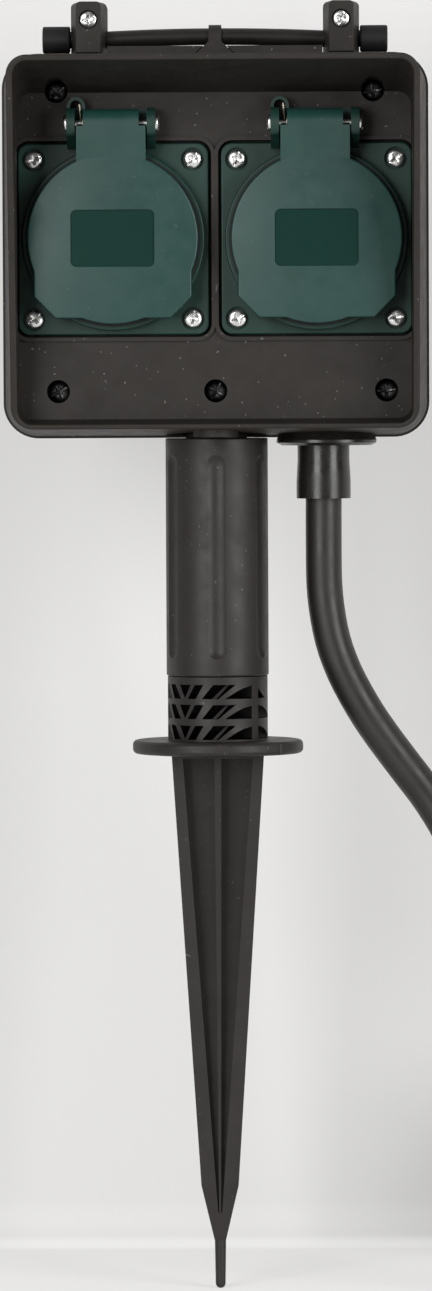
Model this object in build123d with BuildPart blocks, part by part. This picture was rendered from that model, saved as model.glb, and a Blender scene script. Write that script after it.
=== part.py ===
from build123d import *
from math import atan2, cos, pi, radians, sin, sqrt, tan
import os

os.makedirs("parts", exist_ok=True)

# Garden socket spike, in millimetres. X runs to the right, Y away from the viewer and Z up.
# The origin is on the spike's axis, at the underside of its depth collar: the level of the ground.

# Case: a front shell with a deep hood and a shallower rear shell, parted by a flat gasket
seam_mid_z = 132.05
wall = 2.0
gasket_thickness = 1.0
gasket_width = 1.4
gasket_inset = 0.3
seam_half_height = 49.35
seam_corner = 8.6
side_draft = 2.3
draft_depth = 20.0
draft_mid_z = 132.275
draft_half_height = 48.075
draft_corner = 5.7
rim_mid_z = 132.55
rim_half_height = 46.75
rim_corner = 5.2
rim_wall = 1.9
rim_top_depth = 46.0
rim_bottom_depth = 24.0
rim_bottom_z = 84.9
rim_edge_round = 0.5
rear_lip = 0.6
rear_draft = 1.2
back_depth = 28.0
back_edge_round = 2.5

# Recess in the front shell
panel_depth = 14.0
panel_thickness = 2.5
recess_widening = 0.2
recess_corner = 3.6
recess_top = 171.1
recess_bottom = 87.0
hood_rise = 6.8
sill_drop = 4.0
frame_width = 1.0
frame_height = 0.8

# Sockets
socket_z = 133.4
flange_margin = 3.1
flange_spacing = 3.0
flange_relief = 0.3
flange_thickness = 3.0
flange_corner = 3.0
flange_sink = 0.4
flange_edge_round = 0.5
pocket_gap = 0.6
pocket_relief_depth = 23.0
flange_gasket_thickness = 0.8
pocket_floor_thickness = 2.0
collar_margin = 2.0
collar_height = 3.4
cup_radius = 19.6
cup_wall = 2.0
cup_depth = 17.5
cup_floor = 2.0
pin_spacing = 19.0
pin_hole_radius = 3.0
flange_screw_inset = 4.2
flange_screw_seat = 1.5
flange_screw_well = 3.0
flange_column_radius = 3.0
flange_column_length = 8.5

# Lid and its sprung hinge
lid_inset = 1.6
lid_thickness = 4.0
lid_dome = 1.2
lid_edge_round = 0.5
lid_gap = 1.4
lid_rim_width = 4.5
lid_well_depth = 1.6
tab_side_inset = 1.7
tab_side_top = 8.4
tab_side_bottom = 15.0
tab_flat_half_width = 14.8
tab_foot_inset = 1.5
tab_corner = 0.8
stem_half_width = 8.9
stem_foot = 13.5
stem_knee_inset = 2.0
barrel_half_width = 7.15
barrel_radius = 3.65
label_width = 21.5
label_height = 14.7
label_corner = 1.5
label_depth = 0.75
seal_width = 1.8
seal_gap = 0.4
hinge_rise = 4.9
hinge_depth = 19.5
hinge_shift = -0.3
hinge_pin_radius = 0.8
hinge_fit = 0.05
ear_radius = 3.9
ear_thickness = 2.15
ear_gap = 0.35
ear_foot_drop = 1.5
pin_head_radius = 2.25
pin_head_height = 1.0
pin_tail = 0.9
ear_back = 15.0
back_plate_thickness = 0.5
arch_height = 6.8
arch_wall = 0.8
arch_width = 4.7
arch_front = 18.0
spring_wire = 0.3
spring_radius = 1.75
spring_turns = 4
spring_pitch = 1.05
spring_leg = 5.0
spring_pocket_radius = 2.6

# Contacts behind each socket
carrier_inset = 1.3
carrier_length = 11.0
sleeve_radius = 2.8
sleeve_bore = 2.4
sleeve_bore_length = 7.5
earth_width = 5.0
earth_thickness = 0.8
earth_reach = 11.0
earth_inset = 0.15
earth_play = 0.25
earth_terminal_drop = 12.0
terminal_shank = 1.2
terminal_reach = 3.0
terminal_head = 2.2
terminal_head_height = 1.2

# Fasteners
thread_play = 0.03
clearance = 0.2
case_screw_radius = 1.75
case_screw_head = 2.75
case_screw_head_height = 2.2
case_screw_seat_depth = 5.0
case_screw_reach = 12.0
case_screw_well = 3.0
case_column_radius = 4.6
case_well_front = 30.0
rear_column_radius = 4.0
case_screws_at = [(-40.8, 171.5), (40.8, 171.5), (-40.6, 94.2), (0.0, 94.2), (44.1, 94.2)]
small_screw_radius = 1.45
small_screw_head = 2.25
small_screw_head_height = 1.7
flange_screw_reach = 11.0
cross_width = 0.8
cross_depth = 0.9

# Hanging bar in its two lugs, and the saddle at its middle
bar_radius = 2.2
bar_y = 9.5
bar_end_z = 186.0
bar_mid_z = 186.7
bar_in_cap = 4.2
bar_play = 0.25
cap_radius = 3.5
cap_length = 7.2
cap_edge_round = 0.5
lug_x = 32.9
lug_half_width = 4.7
lug_top = 195.6
lug_corner = 1.3
lug_back = 17.0
lug_front = 2.0
lug_front_half_width = 3.2
lug_front_round = 0.35
lug_root_z = 180.8
lug_base_z = 182.2
bed_top = 183.95
bed_back = 6.5
bed_gap = 0.3
lug_split = 0.1
lug_screw_z = 190.9
lug_screw_seat = 1.4
lug_screw_reach = 12.0
lug_screw_shank = 1.22
lug_screw_head = 2.15
lug_screw_well = 2.45
saddle_half_width = 1.65
saddle_wall = 0.6
saddle_base_half_width = 6.2
saddle_stop_thickness = 1.6
saddle_base_z = 185.1

# Grip tube under the case
grip_radius = 13.3
grip_bore = 10.9
grip_bottom = 20.3
grip_top = 82.0
grip_edge_round = 0.4
grip_roof = 3.4
neck_radius = 8.0
neck_flange_radius = 10.5
neck_flange_z = 86.2
neck_top = 88.5
flutes = 6
flute_width = 4.8
flute_depth = 0.9
flute_bottom = 25.1
flute_top = 77.3
boss_radius = 5.8
boss_depth = 14.5
boss_bottom = 82.3
boss_height = 2.6
pad_z = 84.0
pad_play = 0.1
pad_rim = 1.0

# Ground spike: spigot, lattice neck, collar and blade
spigot_play = 0.2
spigot_top = 42.0
spigot_bore = 8.6
lattice_radius = 13.0
window_bottoms = [3.9, 9.3, 14.5]
window_height = 3.7
lattice_relief = 3.0
collar_disc_radius = 22.2
collar_disc_height = 3.5
collar_disc_round = 1.2
gate_x = 16.3
gate_radius = 0.45
blade_half_width = 12.1
blade_half_depth = 7.0
blade_low_z = -112.8
blade_low_half_width = 4.85
blade_low_half_depth = 3.2
blade_end_z = -127.2
tip_radius = 1.5
tip_end_radius = 1.3
tip_z = -140.0
rail_width = 3.0
web_half = 1.0
rib_top_half = 0.9
rib_low_half = 0.25
pocket_top_z = -1.2
pocket_low_z = -120.0

# Cable, its gland and its clamp
cable_radius = 4.75
gland_x = 27.8
gland_play = 0.05
gland_exit_z = 66.2
gland_mouth_radius = 7.05
gland_band_z = 70.6
gland_waist_radius = 6.75
gland_waist_z = 76.0
gland_disc_radius = 13.0
gland_disc_shift = 0.8
gland_disc_bottom = 80.0
gland_disc_edge = 1.4
gland_cone_radius = 11.4
gland_cone_top = 86.0
gland_neck_radius = 6.3
gland_neck_top = 88.5
gland_lip_radius = 8.5
gland_lip_bottom = 86.3
jacket_top = 104.0
clamp_half_width = 10.0
clamp_bottom = 92.0
clamp_height = 8.0
clamp_front = 7.2
clamp_screw_x = 7.6
clamp_screw_reach = 20.0
core_radius = 1.4
core_step = 3.2
wire_bend = 2.2
feed_y = 19.5
feed_z = 107.5
jumper_y = 22.9
live_jumper_z = 141.5
neutral_jumper_z = 128.0
earth_jumper_z = 114.9
conductor_offset = 1.5

# Free cable: the lead runs from the gland to the coil, which lies on the floor beside the spike
floor_z = tip_z
lead_route = [(27.8, 0.0, 66.2), (27.7, 0.0, 53.0), (27.9, 0.0, 39.5), (30.8, 0.0, 25.0),
              (38.3, 0.0, 10.5), (47.4, 0.0, -2.0), (57.1, 0.0, -14.5), (65.1, -2.6, -30.0),
              (70.6, -9.6, -50.0), (73.8, -15.5, -71.5), (76.6, -20.0, -93.0), (84.8, -25.4, -112.6),
              (99.7, -30.6, -127.6), (118.6, -35.3, -135.25), (138.0, -39.2, -135.25)]
coil_at = (158.9, 16.8)
coil_radius = 59.0
coil_pitch = 10.4
coil_layer = 10.1
turns_in = 2.0
turns_back = 0.5
turns_out = 1.615
climb_turns = 0.34
over_radius = 40.0
turns_over = 0.417
rise_turns = 0.08
plug_slope = 0.16
plug_tail_radius = 6.0
plug_tail_length = 20.0
plug_grip_radius = 13.5
plug_grip_length = 30.0
plug_face_radius = 18.6
plug_face_length = 12.0
plug_pin_radius = 2.4
plug_pin_length = 19.0
plug_clip_width = 6.0
plug_clip_thickness = 0.8
plug_clip_length = 10.0

# Places worked out from the sizes above. Depths in front of the spike's axis are negative Y.
cup_outer = cup_radius + cup_wall
flange_size = 2 * (cup_outer + flange_margin)
socket_x = (flange_size + flange_spacing) / 2
collar_radius = cup_outer + collar_margin
lid_radius = collar_radius - lid_inset
lid_well_radius = lid_radius - lid_rim_width
tab_half_width = lid_radius - tab_side_inset
tab_bottom = lid_radius - tab_foot_inset
flange_screw_offset = flange_size / 2 - flange_screw_inset
hinge_z = socket_z + flange_size / 2 + hinge_rise
ear_foot_z = socket_z + flange_size / 2 - ear_foot_drop
carrier_radius = cup_outer - carrier_inset
earth_radius = cup_radius + earth_inset
recess_half_width = socket_x + flange_size / 2 - flange_relief
rim_half_width = recess_half_width + rim_wall
seam_half_width = rim_half_width + side_draft
cap_start = lug_x + lug_half_width + clearance
bar_reach = cap_start + bar_in_cap
seam_y = -gasket_thickness / 2
rear_y = gasket_thickness / 2
rim_top_y = -rim_top_depth
rim_bottom_y = -rim_bottom_depth
panel_y = -panel_depth
panel_back_y = panel_y + panel_thickness
flange_y = panel_y + flange_sink
flange_back_y = flange_y + flange_thickness
pocket_floor_y = flange_back_y + flange_gasket_thickness
pocket_back_y = pocket_floor_y + pocket_floor_thickness
pocket_half = flange_size / 2 + pocket_gap
collar_front_y = flange_y - collar_height
cup_floor_y = collar_front_y + cup_depth
cup_back_y = cup_floor_y + cup_floor
carrier_back_y = cup_back_y + carrier_length
hinge_y = -hinge_depth
lid_inner_y = collar_front_y - lid_gap
lid_edge_y = lid_inner_y - lid_thickness
lid_front_y = lid_edge_y - lid_dome
ear_inner = stem_half_width + ear_gap
ear_outer = ear_inner + ear_thickness
case_seat_y = -case_screw_seat_depth
cable_back_y = cable_radius + gland_play
strap_radius = bar_radius + bar_play + saddle_wall


def facing(y):
    """A sketch plane at depth y, seen from the front: its x is X and its y is Z."""
    return Plane(origin=(0, y, 0), x_dir=(1, 0, 0), z_dir=(0, -1, 0))


def rounded_outline(y, mid_z, half_width, half_height, corner):
    """A rounded rectangle about the middle of the case, at depth y."""
    with BuildSketch(facing(y)) as outline:
        with Locations((0, mid_z)):
            RectangleRounded(2 * half_width, 2 * half_height, corner)
    return outline.sketch


def case_form(inset=0.0):
    """The front shell's outside: it draws in over the first stretch in front of the seam, then hardly."""
    sections = [(seam_y, seam_mid_z, seam_half_width, seam_half_height, seam_corner),
                (-draft_depth, draft_mid_z, rim_half_width, draft_half_height, draft_corner),
                (rim_top_y, rim_mid_z, rim_half_width, rim_half_height, rim_corner)]
    return [rounded_outline(y, mid_z, half_width - inset, half_height - inset, corner - inset / 2)
            for y, mid_z, half_width, half_height, corner in sections]


def rear_outline(y, inset=0.0):
    """The rear shell's outside at depth y, which draws in towards the back."""
    draft = rear_draft * (y - rear_y) / (back_depth - rear_y)
    half_width = seam_half_width + rear_lip - draft - inset
    half_height = seam_half_height + rear_lip - draft - inset
    return rounded_outline(y, seam_mid_z, half_width, half_height, seam_corner + rear_lip - inset / 2)


def recess_outline(y, grow=0.0):
    """The recess at depth y: its roof rises and its sill drops towards the rim."""
    share = (panel_y - y) / (panel_y - rim_top_y)
    top = recess_top + hood_rise * share + grow
    bottom = recess_bottom - sill_drop * share - grow
    half_width = recess_half_width + recess_widening * share + grow
    return rounded_outline(y, (top + bottom) / 2, half_width, (top - bottom) / 2, recess_corner + grow)


def rod(start, end, radius):
    """A round bar from one point to another."""
    axis = Vector(*end) - Vector(*start)
    with BuildPart() as bar:
        with BuildSketch(Plane(origin=start, z_dir=axis)):
            Circle(radius)
        extrude(amount=axis.length)
    return bar.part


def screw(x, z, seat_y, shank, reach, head, head_height, cross=cross_depth):
    """A pan-head screw driven along +Y, its head on a seat, with a cross recess."""
    with BuildPart() as body:
        with BuildSketch(facing(seat_y)):
            with Locations((x, z)):
                Circle(head)
        extrude(amount=head_height)
        fillet(body.faces().sort_by(Axis.Y)[0].edges(), head_height / 3)
        with BuildSketch(facing(seat_y)):
            with Locations((x, z)):
                Circle(shank)
        extrude(amount=-reach)
        with BuildSketch(facing(seat_y - head_height)):
            with Locations((x, z)):
                Rectangle(1.4 * head, cross_width)
                Rectangle(cross_width, 1.4 * head)
        extrude(amount=-cross, mode=Mode.SUBTRACT)
    return body.part


def arc_middle(start, end, tangent):
    """The middle of the arc that leaves start along tangent and ends at end."""
    chord = end - start
    along = chord.normalized()
    turn = radians(along.get_angle(tangent))
    side = tangent - along * tangent.dot(along)
    return (start + end) * 0.5 + side.normalized() * (chord.length / 2 * tan(turn / 2))


def biarcs(points, tangents):
    """Arcs, two between each point and the next, that keep the tangent at every point."""
    for start, end, leaving, arriving in zip(points, points[1:], tangents, tangents[1:]):
        step = end - start
        both = leaving + arriving
        spread = 2 * (1 - leaving.dot(arriving))
        across = step.dot(both)
        reach = (sqrt(across**2 + spread * step.dot(step)) - across) / spread
        joint = (start + end + (leaving - arriving) * reach) * 0.5
        yield ThreePointArc(start, arc_middle(start, joint, leaving), joint)
        yield ThreePointArc(joint, arc_middle(end, joint, arriving * -1), end)


def least_gap(points, radius, skip):
    """The least space between a wound tube and its own turns, from points on its middle line."""
    spans = [
        (a - b).length
        for i, a in enumerate(points)
        for b in points[i + skip:]
    ]
    return min(spans) - 2 * radius


def finish(part, name):
    """Name a finished piece and write it."""
    part.label = name
    export_step(part, f"parts/{name}.step")


def tube(points, radius, bend, name):
    """A round bar that follows a list of points, with every corner rounded by the same bend."""
    with BuildPart() as bar:
        with BuildLine() as middle:
            FilletPolyline(*points, radius=bend)
        path = middle.wire()
        with BuildSketch(Plane(origin=points[0], z_dir=path % 0)):
            Circle(radius)
        sweep(path=path)
    print(name, "volume over section and length", round(bar.part.volume / (pi * radius**2 * path.length), 4))
    return bar.part


# Solid blocks of the two shells, from which they are hollowed and their neighbours trimmed
with BuildPart() as front_block:
    loft(case_form(), ruled=True)

with BuildPart() as rear_block:
    loft([rear_outline(rear_y), rear_outline(back_depth)])
    fillet(rear_block.faces().sort_by(Axis.Y)[-1].edges(), back_edge_round)

with BuildPart() as seam_block:
    extrude(rounded_outline(rear_y, seam_mid_z, seam_half_width, seam_half_height, seam_corner),
            amount=gasket_thickness)

# The rim leans: the hood stands further out at the top than the sill does at the bottom
rim_top_z = rim_mid_z + rim_half_height
rim_plane = Plane(origin=(0, rim_top_y, rim_top_z), x_dir=(1, 0, 0),
                  z_dir=(0, rim_bottom_z - rim_top_z, rim_top_y - rim_bottom_y))

# Pads inside the bottom wall, on which the grip's flange and the gland's lip are seated
with BuildPart() as seat_pads:
    with BuildSketch(Plane.XY.offset(pad_z)):
        Circle(neck_flange_radius + pad_rim)
        with Locations((gland_x, 0)):
            Circle(gland_lip_radius + pad_rim)
    extrude(amount=neck_flange_z - pad_play - pad_z)

# Vertical holes through the bottom wall for the grip's neck and the gland
with BuildPart() as bottom_holes:
    with BuildSketch(Plane.XY.offset(gland_disc_bottom)):
        Circle(neck_radius + clearance)
        with Locations((gland_x, 0)):
            Circle(gland_neck_radius + clearance)
    extrude(amount=neck_flange_z - gland_disc_bottom)

# Recess, pockets and screw columns as one block that fills the front of the case
with BuildPart() as recess_lining:
    loft([recess_outline(panel_back_y, wall), recess_outline(rim_top_y, wall)])
    with BuildSketch(facing(pocket_back_y)):
        with Locations((-socket_x, socket_z), (socket_x, socket_z)):
            Rectangle(2 * pocket_half + wall, 2 * pocket_half + wall)
    extrude(amount=pocket_back_y - panel_y)
    with BuildSketch(facing(pocket_back_y)):
        for side in (-1, 1):
            with Locations((side * socket_x, socket_z)):
                with GridLocations(2 * flange_screw_offset, 2 * flange_screw_offset, 2, 2):
                    Circle(flange_column_radius)
    extrude(amount=-flange_column_length)
    with BuildSketch(facing(seam_y)):
        with Locations(*case_screws_at):
            Circle(case_column_radius)
    extrude(amount=case_well_front + seam_y)
    add(front_block.part, mode=Mode.INTERSECT)

with BuildPart() as front_shell:
    add(front_block.part)
    loft(case_form(wall), ruled=True, mode=Mode.SUBTRACT)
    add(recess_lining.part)
    loft([recess_outline(panel_y), recess_outline(rim_top_y - wall)], mode=Mode.SUBTRACT)
    split(bisect_by=rim_plane, keep=Keep.BOTTOM)
    rim_face = front_shell.faces().filter_by(rim_plane).sort_by(Axis.Y)[0]
    fillet(rim_face.edges(), rim_edge_round)
    # Low frame round the two pockets
    with BuildSketch(facing(panel_y)):
        with Locations((-socket_x, socket_z), (socket_x, socket_z)):
            outer = 2 * (pocket_half + frame_width)
            RectangleRounded(outer, outer, flange_corner + pocket_gap + frame_width)
    extrude(amount=frame_height)
    add(seat_pads.part)
    add(front_block.part, mode=Mode.INTERSECT)
    # Pockets, which also relieve the side walls so that the flanges go in from the front
    with BuildSketch(facing(pocket_floor_y)):
        with Locations((-socket_x, socket_z), (socket_x, socket_z)):
            RectangleRounded(2 * pocket_half, 2 * pocket_half, flange_corner + pocket_gap)
    extrude(amount=pocket_relief_depth + pocket_floor_y, mode=Mode.SUBTRACT)
    # A round opening for each socket's cup, and pilot holes for its screws
    with BuildSketch(facing(pocket_floor_y)):
        for side in (-1, 1):
            with Locations((side * socket_x, socket_z)):
                Circle(cup_outer + clearance)
                with GridLocations(2 * flange_screw_offset, 2 * flange_screw_offset, 2, 2):
                    Circle(small_screw_radius + thread_play)
    extrude(amount=-flange_screw_reach, mode=Mode.SUBTRACT)
    # Deep wells for the case screws
    with BuildSketch(facing(case_seat_y)):
        with Locations(*case_screws_at):
            Circle(case_screw_well)
    extrude(amount=case_well_front + case_seat_y, mode=Mode.SUBTRACT)
    with BuildSketch(facing(seam_y)):
        with Locations(*case_screws_at):
            Circle(case_screw_radius + clearance)
    extrude(amount=seam_y - case_seat_y, mode=Mode.SUBTRACT)
    # Boss on the underside, in front of the grip
    with BuildSketch(Plane.XY.offset(boss_bottom)):
        with Locations((0, -boss_depth)):
            Circle(boss_radius)
    extrude(amount=boss_height)
    add(bottom_holes.part, mode=Mode.SUBTRACT)
finish(front_shell.part, "front_shell")

with BuildPart() as rear_shell:
    add(rear_block.part)
    loft([rear_outline(rear_y, wall), rear_outline(back_depth - wall, wall)], mode=Mode.SUBTRACT)
    with BuildSketch(facing(rear_y)):
        with Locations(*case_screws_at):
            Circle(rear_column_radius)
    extrude(amount=rear_y - back_depth + wall)
    add(seat_pads.part)
    # Rib behind the cable, which the clamp is screwed to
    with BuildSketch(facing(cable_back_y)):
        with Locations((gland_x, clamp_bottom + clamp_height / 2)):
            Rectangle(2 * clamp_half_width, clamp_height)
    extrude(amount=cable_back_y - back_depth + wall)
    add(rear_block.part, mode=Mode.INTERSECT)
    with BuildSketch(facing(rear_y)):
        with Locations(*case_screws_at):
            Circle(case_screw_radius + thread_play)
    extrude(amount=-case_screw_reach, mode=Mode.SUBTRACT)
    with BuildSketch(facing(cable_back_y)):
        with Locations((gland_x, clamp_bottom + clamp_height / 2)):
            with GridLocations(2 * clamp_screw_x, 1, 2, 1):
                Circle(small_screw_radius + thread_play)
    extrude(amount=-clamp_screw_reach, mode=Mode.SUBTRACT)
    # Back halves of the lugs, and the low beds in front of the bar between them
    with BuildSketch(facing(lug_back)):
        for side in (-1, 1):
            with Locations((side * lug_x, (lug_root_z + lug_top) / 2)):
                Rectangle(2 * lug_half_width, lug_top - lug_root_z)
    extrude(amount=lug_back - bar_y - lug_split)
    lug_edges = rear_shell.edges().filter_by(Axis.Y).filter_by_position(Axis.Z, lug_top - 0.1, lug_top + 0.1)
    fillet(lug_edges, lug_corner)
    saddle_slant = (saddle_base_half_width - saddle_half_width) / (saddle_base_z - lug_root_z)
    with BuildSketch(facing(bed_back)):
        for side in (-1, 1):
            bed_foot = saddle_base_half_width + bed_gap
            bed_head = bed_foot - saddle_slant * (bed_top - lug_root_z)
            bed_end = lug_x - lug_half_width - clearance
            Polygon((side * bed_foot, lug_root_z), (side * bed_end, lug_root_z), (side * bed_end, bed_top),
                    (side * bed_head, bed_top), align=None)
    extrude(amount=bed_back - lug_front)
    # Low stop behind the saddle's foot
    with BuildSketch(facing(bar_y + strap_radius + clearance + saddle_stop_thickness)):
        with Locations((0, (lug_root_z + bed_top) / 2)):
            Rectangle(2 * (saddle_base_half_width + bed_gap), bed_top - lug_root_z)
    extrude(amount=saddle_stop_thickness)
    # Half of the bar's seat, and the holes for the lug screws
    with BuildSketch(Plane.YZ.offset(-bar_reach)):
        with Locations((bar_y, bar_end_z)):
            Circle(bar_radius + bar_play)
    extrude(amount=2 * bar_reach, mode=Mode.SUBTRACT)
    with BuildSketch(facing(bar_y)):
        with Locations((-lug_x, lug_screw_z), (lug_x, lug_screw_z)):
            Circle(lug_screw_shank + thread_play)
    extrude(amount=bar_y - lug_front - lug_screw_seat - lug_screw_reach - clearance, mode=Mode.SUBTRACT)
    add(bottom_holes.part, mode=Mode.SUBTRACT)
finish(rear_shell.part, "rear_shell")

# Flat gasket between the shells, set in from the outside, in two lengths between the two necks
with BuildPart() as shell_gasket:
    with BuildSketch(facing(rear_y)):
        with Locations((0, seam_mid_z)):
            outer_width = 2 * (seam_half_width - gasket_inset)
            outer_height = 2 * (seam_half_height - gasket_inset)
            RectangleRounded(outer_width, outer_height, seam_corner)
            RectangleRounded(outer_width - 2 * gasket_width, outer_height - 2 * gasket_width,
                             seam_corner - gasket_width, mode=Mode.SUBTRACT)
    extrude(amount=gasket_thickness)
    add(bottom_holes.part, mode=Mode.SUBTRACT)
finish(shell_gasket.part, "shell_gasket")

# Case screws, deep in their wells
with BuildPart() as case_screws:
    for x, z in case_screws_at:
        add(screw(x, z, case_seat_y, case_screw_radius, case_screw_reach,
                  case_screw_head, case_screw_head_height))
finish(case_screws.part, "case_screws")

# Hanging bar: straight through the lugs and gently arched between them
arc_half = lug_x - lug_half_width
with BuildPart() as hanging_bar:
    with BuildLine() as arc:
        ThreePointArc((-arc_half, bar_y, bar_end_z), (0, bar_y, bar_mid_z), (arc_half, bar_y, bar_end_z))
    with BuildSketch(Plane(origin=arc.line @ 0, z_dir=arc.line % 0)):
        Circle(bar_radius)
    sweep()
    for side in (-1, 1):
        add(rod((side * (arc_half - bar_radius), bar_y, bar_end_z), (side * bar_reach, bar_y, bar_end_z),
                bar_radius))
finish(hanging_bar.part, "hanging_bar")

# Turned caps on the bar's ends, outside the lugs
with BuildPart() as bar_end_caps:
    for side in (-1, 1):
        with BuildSketch(Plane.YZ.offset(side * cap_start)):
            with Locations((bar_y, bar_end_z)):
                Circle(cap_radius)
        extrude(amount=side * cap_length)
    fillet(bar_end_caps.edges().filter_by(GeomType.CIRCLE), cap_edge_round)
    with BuildSketch(Plane.YZ.offset(-bar_reach)):
        with Locations((bar_y, bar_end_z)):
            Circle(bar_radius + thread_play)
    extrude(amount=2 * bar_reach, mode=Mode.SUBTRACT)
finish(bar_end_caps.part, "bar_end_caps")


def make_lug_clamp(side, name):
    """The front half of a lug: it tapers to the front, and its screw pinches the bar."""
    middle = (side * lug_x, (lug_base_z + lug_top) / 2)
    with BuildPart() as clamp:
        with BuildSketch(facing(bar_y - lug_split)):
            with Locations(middle):
                Rectangle(2 * lug_half_width, lug_top - lug_base_z)
        with BuildSketch(facing(lug_front)):
            with Locations(middle):
                Rectangle(2 * lug_front_half_width, lug_top - lug_base_z)
        loft()
        top_corners = clamp.edges().filter_by_position(Axis.Z, lug_top - 0.1, lug_top + 0.1)
        top_corners = top_corners.filter_by(Axis.X, reverse=True)
        fillet(top_corners, lug_corner)
        fillet(clamp.faces().sort_by(Axis.Y)[0].edges(), lug_front_round)
        with BuildSketch(Plane.YZ.offset(-bar_reach)):
            with Locations((bar_y, bar_end_z)):
                Circle(bar_radius + bar_play)
        extrude(amount=2 * bar_reach, mode=Mode.SUBTRACT)
        with BuildSketch(facing(lug_front + lug_screw_seat)):
            with Locations((side * lug_x, lug_screw_z)):
                Circle(lug_screw_well)
        extrude(amount=lug_screw_seat, mode=Mode.SUBTRACT)
        with BuildSketch(facing(bar_y)):
            with Locations((side * lug_x, lug_screw_z)):
                Circle(lug_screw_shank + clearance)
        extrude(amount=bar_y - lug_front, mode=Mode.SUBTRACT)
    finish(clamp.part, name)


make_lug_clamp(-1, "lug_clamp_left")
make_lug_clamp(1, "lug_clamp_right")

with BuildPart() as lug_screws:
    for side in (-1, 1):
        add(screw(side * lug_x, lug_screw_z, lug_front + lug_screw_seat, lug_screw_shank,
                  lug_screw_reach, lug_screw_head, lug_screw_seat))
finish(lug_screws.part, "lug_screws")

# Saddle: a strap round the middle of the bar, on a flared foot that stands on the rear shell
with BuildPart() as bar_saddle:
    with BuildSketch(Plane.YZ.offset(-saddle_half_width)):
        with Locations((bar_y, bar_mid_z)):
            Circle(strap_radius)
        with Locations((bar_y, (bar_mid_z + lug_root_z) / 2)):
            Rectangle(2 * strap_radius, bar_mid_z - lug_root_z)
    extrude(amount=2 * saddle_half_width)
    with BuildSketch(facing(bar_y + strap_radius)):
        Polygon((-saddle_base_half_width, lug_root_z), (saddle_base_half_width, lug_root_z),
                (saddle_half_width, saddle_base_z), (-saddle_half_width, saddle_base_z), align=None)
    extrude(amount=bar_y + strap_radius - lug_front)
    with BuildSketch(Plane.YZ.offset(-saddle_base_half_width)):
        with Locations((bar_y, bar_mid_z)):
            Circle(bar_radius + bar_play)
    extrude(amount=2 * saddle_base_half_width, mode=Mode.SUBTRACT)
    add(rear_block.part, mode=Mode.SUBTRACT)
finish(bar_saddle.part, "bar_saddle")

# Grip tube: closed at the top, with a neck whose flange is held between the shells
with BuildPart() as grip_tube:
    with BuildSketch(Plane.XZ):
        Polygon((0, grip_top - grip_roof), (grip_bore, grip_top - grip_roof), (grip_bore, grip_bottom),
                (grip_radius, grip_bottom), (grip_radius, grip_top), (neck_radius, grip_top),
                (neck_radius, neck_flange_z), (neck_flange_radius, neck_flange_z),
                (neck_flange_radius, neck_top), (0, neck_top), align=None)
    revolve(axis=Axis.Z)
    outer_rims = grip_tube.edges().filter_by(GeomType.CIRCLE)
    outer_rims = outer_rims.filter_by(lambda edge: edge.radius > grip_radius - 0.1)
    fillet(outer_rims, grip_edge_round)
    # Round-bottomed flutes: a rod with ball ends cuts each one
    flute_chord = sqrt(grip_radius**2 - flute_width**2 / 4)
    flute_sink = flute_depth - grip_radius + flute_chord
    flute_cut = (flute_width**2 / 4 + flute_sink**2) / (2 * flute_sink)
    flute_axis = flute_chord - flute_sink + flute_cut
    for k in range(flutes):
        out = Vector(0, -1, 0).rotate(Axis.Z, 360 * k / flutes) * flute_axis
        low, high = (out.X, out.Y, flute_bottom + flute_width / 2), (out.X, out.Y, flute_top - flute_width / 2)
        add(rod(low, high, flute_cut), mode=Mode.SUBTRACT)
        with Locations(low, high):
            Sphere(flute_cut, mode=Mode.SUBTRACT)
finish(grip_tube.part, "grip_tube")

# Lattice neck of the spike: three rows of windows between slanting ribs, cut from the front and the back
# as far as a web in the middle. One rib in each row stands back from the others.
lattice_top = grip_bottom - clearance
edge = lattice_radius + 0.5
windows = [[(-edge, 0), (-11.7, 0), (-12.6, 1), (-edge, 1)],
           [(-11.1, 0), (-9.4, 0), (-10.9, 1), (-12.0, 1)],
           [(-8.4, 0.05), (-6.9, 1), (-9.7, 1)],
           [(-7.7, 0), (-5.65, 0), (-3.55, 1), (-5.8, 1)],
           [(-4.05, 0), (-1.35, 0), (2.4, 1), (-1.05, 1)],
           [(-0.25, 0), (0.25, 0), (4.8, 1), (3.2, 1)],
           [(1.95, 0), (8.9, 0), (8.9, 0.92), (6.8, 0.76), (5.1, 0.54), (3.2, 0.22)]]
relief = [(-4.05, 0), (0.25, 0), (4.8, 1), (-1.05, 1)]
top_end_window = [(10.5, 0), (12.2, 0), (10.5, 0.75)]
end_window = [(10.5, 0), (edge, 0), (12.9, 0.3), (12.4, 0.6), (11.6, 0.85), (10.5, 0.95)]


def window_sketch(y, outline, bottoms):
    """The same window in several rows, on a plane at depth y."""
    with BuildSketch(facing(y)) as sketch:
        for bottom in bottoms:
            Polygon(*[(x, bottom + rise * window_height) for x, rise in outline], align=None)
    return sketch.sketch


with BuildPart() as lattice:
    with BuildSketch(Plane.XY.offset(collar_disc_height / 2)):
        Circle(lattice_radius)
    extrude(amount=lattice_top - collar_disc_height / 2)
    cuts = [*[(outline, window_bottoms, web_half) for outline in windows],
            (top_end_window, window_bottoms[-1:], web_half), (end_window, window_bottoms[:-1], web_half),
            (relief, window_bottoms, lattice_radius - lattice_relief)]
    for outline, bottoms, depth in cuts:
        extrude(window_sketch(-depth, outline, bottoms), amount=edge - depth, mode=Mode.SUBTRACT)
        extrude(window_sketch(depth, outline, bottoms), amount=depth - edge, mode=Mode.SUBTRACT)


def blade_section(z, half_width, half_depth):
    """A plain rectangle across the blade at height z."""
    with BuildSketch(Plane.XY.offset(z)) as section:
        Rectangle(2 * half_width, 2 * half_depth)
    return section.sketch


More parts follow.
